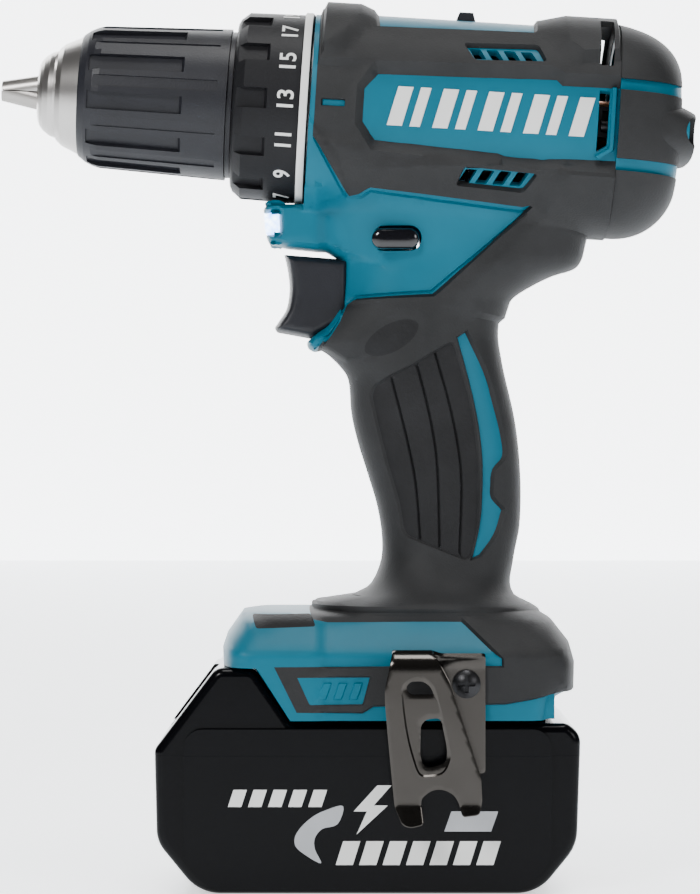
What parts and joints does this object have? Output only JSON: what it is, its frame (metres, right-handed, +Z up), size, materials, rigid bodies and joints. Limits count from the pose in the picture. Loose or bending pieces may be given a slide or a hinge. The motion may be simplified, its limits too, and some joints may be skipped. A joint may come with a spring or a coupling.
{
  "type": "cordless drill",
  "caption": "Pistol-grip cordless drill driver with a keyless three-jaw chuck, torque ring, two-speed gearbox, slide-on battery and belt clip.",
  "frame": {"origin": "middle of the battery's flat base, on the plane that the two housing halves meet in", "axes": "+Z up from the base, -X towards the chuck, -Y the side with the belt clip"},
  "size_m": [0.1924, 0.0854, 0.2425],
  "materials": {
    "teal_shell": "slightly glossy moulded plastic",
    "soft_grip": "fine-textured soft overmould",
    "light_alloy": "die-cast",
    "hard_steel": "machined",
    "bright_steel": "satin turned steel",
    "black_plastic": "fine-textured",
    "copper": "copper",
    "ferrite": "dark ceramic",
    "carbon": "pressed carbon",
    "clear_lens": "clear, lit from behind",
    "black_screw": "black oxide",
    "wire_sheath": "soft sheath",
    "battery_black": "glossy moulded plastic",
    "cell_wrap": "shrink-wrapped steel cans",
    "board_green": "lacquered board"
  },
  "bodies": {
    "drill_body": {"left_housing": "teal_shell", "right_housing": "teal_shell", "left_overmould": "soft_grip", "right_overmould": "soft_grip", "rear_cover": "teal_shell", "rear_cover_overmould": "soft_grip", "gear_case": "light_alloy", "held_ring_gears": "hard_steel", "spindle_bearing": "hard_steel", "clutch_spring": "hard_steel", "motor_magnets": "ferrite", "motor_yoke": "hard_steel", "brush_holder": "black_plastic", "carbon_brushes": "carbon", "motor_bearings": "hard_steel", "housing_screws": "hard_steel", "switch_body": "black_plastic", "led_lens": "clear_lens", "belt_clip": "bright_steel", "belt_clip_screw": "black_screw", "terminal_block": "black_plastic", "terminal_blades": "copper", "wiring_loom": "wire_sheath"},
    "torque_ring": {"torque_ring": "black_plastic"},
    "clutch_nut": {"clutch_nut": "hard_steel"},
    "spindle": {"output_spindle": "hard_steel", "chuck_body": "hard_steel", "chuck_screw": "hard_steel", "chuck_nose": "bright_steel", "chuck_collar": "black_plastic"},
    "sleeve": {"chuck_sleeve": "black_plastic", "chuck_nut": "hard_steel"},
    "jaw_1": {"chuck_jaw_1": "bright_steel"},
    "jaw_2": {"chuck_jaw_2": "bright_steel"},
    "jaw_3": {"chuck_jaw_3": "bright_steel"},
    "second_carrier": {"second_carrier": "hard_steel"},
    "first_carrier": {"first_carrier": "hard_steel"},
    "rotor": {"motor_shaft": "hard_steel", "rotor_core": "hard_steel", "rotor_windings": "copper", "commutator": "copper", "cooling_fan": "black_plastic"},
    "speed_selector": {"speed_lever": "black_plastic", "shift_ring_gear": "hard_steel"},
    "trigger": {"trigger": "black_plastic"},
    "reversing_lever": {"reversing_lever": "black_plastic"},
    "battery": {"battery_case": "battery_black", "battery_cover": "battery_black", "battery_cells": "cell_wrap", "battery_board": "board_green"},
    "battery_latch": {"battery_latch": "battery_black"},
    "first_planet_1": {"first_planet_1": "hard_steel"},
    "first_planet_2": {"first_planet_2": "hard_steel"},
    "first_planet_3": {"first_planet_3": "hard_steel"},
    "second_planet_1": {"second_planet_1": "hard_steel"},
    "second_planet_2": {"second_planet_2": "hard_steel"},
    "second_planet_3": {"second_planet_3": "hard_steel"},
    "third_planet_1": {"third_planet_1": "hard_steel"},
    "third_planet_2": {"third_planet_2": "hard_steel"},
    "third_planet_3": {"third_planet_3": "hard_steel"}
  },
  "joints": [
    {"name": "chuck_spin", "type": "hinge", "parent": "drill_body", "child": "spindle", "pos_m": [0, 0, 0.2139], "axis": [0.998, 0, -0.0628], "continuous": true},
    {"name": "second_carrier_spin", "type": "hinge", "parent": "drill_body", "child": "second_carrier", "pos_m": [0, 0, 0.2139], "axis": [0.998, 0, -0.0628], "continuous": true},
    {"name": "first_carrier_spin", "type": "hinge", "parent": "drill_body", "child": "first_carrier", "pos_m": [0, 0, 0.2139], "axis": [0.998, 0, -0.0628], "continuous": true},
    {"name": "rotor_spin", "type": "hinge", "parent": "drill_body", "child": "rotor", "pos_m": [0, 0, 0.2139], "axis": [0.998, 0, -0.0628], "continuous": true},
    {"name": "third_planet_1_spin", "type": "hinge", "parent": "spindle", "child": "third_planet_1", "pos_m": [-0.00923, 0, 0.2265], "axis": [0.998, 0, -0.0628], "continuous": true},
    {"name": "third_planet_2_spin", "type": "hinge", "parent": "spindle", "child": "third_planet_2", "pos_m": [-0.01036, -0.01039, 0.20854], "axis": [0.998, 0, -0.0628], "continuous": true},
    {"name": "third_planet_3_spin", "type": "hinge", "parent": "spindle", "child": "third_planet_3", "pos_m": [-0.01036, 0.01039, 0.20854], "axis": [0.998, 0, -0.0628], "continuous": true},
    {"name": "second_planet_1_spin", "type": "hinge", "parent": "second_carrier", "child": "second_planet_1", "pos_m": [0.00112, 0, 0.2254], "axis": [0.998, 0, -0.0628], "continuous": true},
    {"name": "second_planet_2_spin", "type": "hinge", "parent": "second_carrier", "child": "second_planet_2", "pos_m": [0.00004, -0.01, 0.20811], "axis": [0.998, 0, -0.0628], "continuous": true},
    {"name": "second_planet_3_spin", "type": "hinge", "parent": "second_carrier", "child": "second_planet_3", "pos_m": [0.00004, 0.01, 0.20811], "axis": [0.998, 0, -0.0628], "continuous": true},
    {"name": "first_planet_1_spin", "type": "hinge", "parent": "first_carrier", "child": "first_planet_1", "pos_m": [0.01265, 0, 0.22468], "axis": [0.998, 0, -0.0628], "continuous": true},
    {"name": "first_planet_2_spin", "type": "hinge", "parent": "first_carrier", "child": "first_planet_2", "pos_m": [0.01156, -0.01, 0.20739], "axis": [0.998, 0, -0.0628], "continuous": true},
    {"name": "first_planet_3_spin", "type": "hinge", "parent": "first_carrier", "child": "first_planet_3", "pos_m": [0.01156, 0.01, 0.20739], "axis": [0.998, 0, -0.0628], "continuous": true},
    {"name": "sleeve_turn", "type": "hinge", "parent": "spindle", "child": "sleeve", "pos_m": [0, 0, 0.2139], "axis": [0.998, 0, -0.0628], "range_deg": [0, 2900]},
    {"name": "jaw_1_slide", "type": "slide", "parent": "spindle", "child": "jaw_1", "axis": [0.9861, -0.1082, 0.1258], "range_m": [0, 0.0301]},
    {"name": "jaw_2_slide", "type": "slide", "parent": "spindle", "child": "jaw_2", "axis": [0.9626, -0.1082, -0.2484], "range_m": [0, 0.0301]},
    {"name": "jaw_3_slide", "type": "slide", "parent": "spindle", "child": "jaw_3", "axis": [0.9744, 0.2164, -0.0613], "range_m": [0, 0.0301]},
    {"name": "torque_ring_turn", "type": "hinge", "parent": "drill_body", "child": "torque_ring", "pos_m": [0, 0, 0.2139], "axis": [0.998, 0, -0.0628], "range_deg": [-144, 108]},
    {"name": "clutch_nut_slide", "type": "slide", "parent": "drill_body", "child": "clutch_nut", "axis": [0.998, 0, -0.0628], "range_m": [-0.00184, 0.00138], "deforming": ["clutch_spring"]},
    {"name": "speed_selector_slide", "type": "slide", "parent": "drill_body", "child": "speed_selector", "axis": [0.998, 0, -0.0628], "range_m": [0, 0.0046]},
    {"name": "trigger_pull", "type": "slide", "parent": "drill_body", "child": "trigger", "axis": [1, 0, 0], "range_m": [0, 0.007], "stiffness_N_per_m": 700, "springref_m": -0.002},
    {"name": "reversing_lever_slide", "type": "slide", "parent": "drill_body", "child": "reversing_lever", "axis": [0, 1, 0], "range_m": [-0.003, 0.003]},
    {"name": "battery_slide", "type": "slide", "parent": "drill_body", "child": "battery", "axis": [-1, 0, 0], "range_m": [0, 0.1]},
    {"name": "battery_latch_press", "type": "slide", "parent": "battery", "child": "battery_latch", "axis": [0, 0, -1], "range_m": [0, 0.0035], "stiffness_N_per_m": 600, "springref_m": -0.002}
  ],
  "couplings": [
    {"joint": "second_carrier_spin", "follows": "chuck_spin", "ratio": 3.3333},
    {"joint": "first_carrier_spin", "follows": "chuck_spin", "ratio": 10.476},
    {"joint": "rotor_spin", "follows": "chuck_spin", "ratio": 38.413},
    {"joint": "third_planet_1_spin", "follows": "chuck_spin", "ratio": -3.5},
    {"joint": "third_planet_2_spin", "follows": "chuck_spin", "ratio": -3.5},
    {"joint": "third_planet_3_spin", "follows": "chuck_spin", "ratio": -3.5},
    {"joint": "second_planet_1_spin", "follows": "chuck_spin", "ratio": -12.5},
    {"joint": "second_planet_2_spin", "follows": "chuck_spin", "ratio": -12.5},
    {"joint": "second_planet_3_spin", "follows": "chuck_spin", "ratio": -12.5},
    {"joint": "first_planet_1_spin", "follows": "chuck_spin", "ratio": -33.524},
    {"joint": "first_planet_2_spin", "follows": "chuck_spin", "ratio": -33.524},
    {"joint": "first_planet_3_spin", "follows": "chuck_spin", "ratio": -33.524},
    {"joint": "jaw_1_slide", "follows": "sleeve_turn", "m_per_rad": 0.00059271},
    {"joint": "jaw_2_slide", "follows": "sleeve_turn", "m_per_rad": 0.00059271},
    {"joint": "jaw_3_slide", "follows": "sleeve_turn", "m_per_rad": 0.00059271},
    {"joint": "clutch_nut_slide", "follows": "torque_ring_turn", "m_per_rad": 0.00072757}
  ]
}
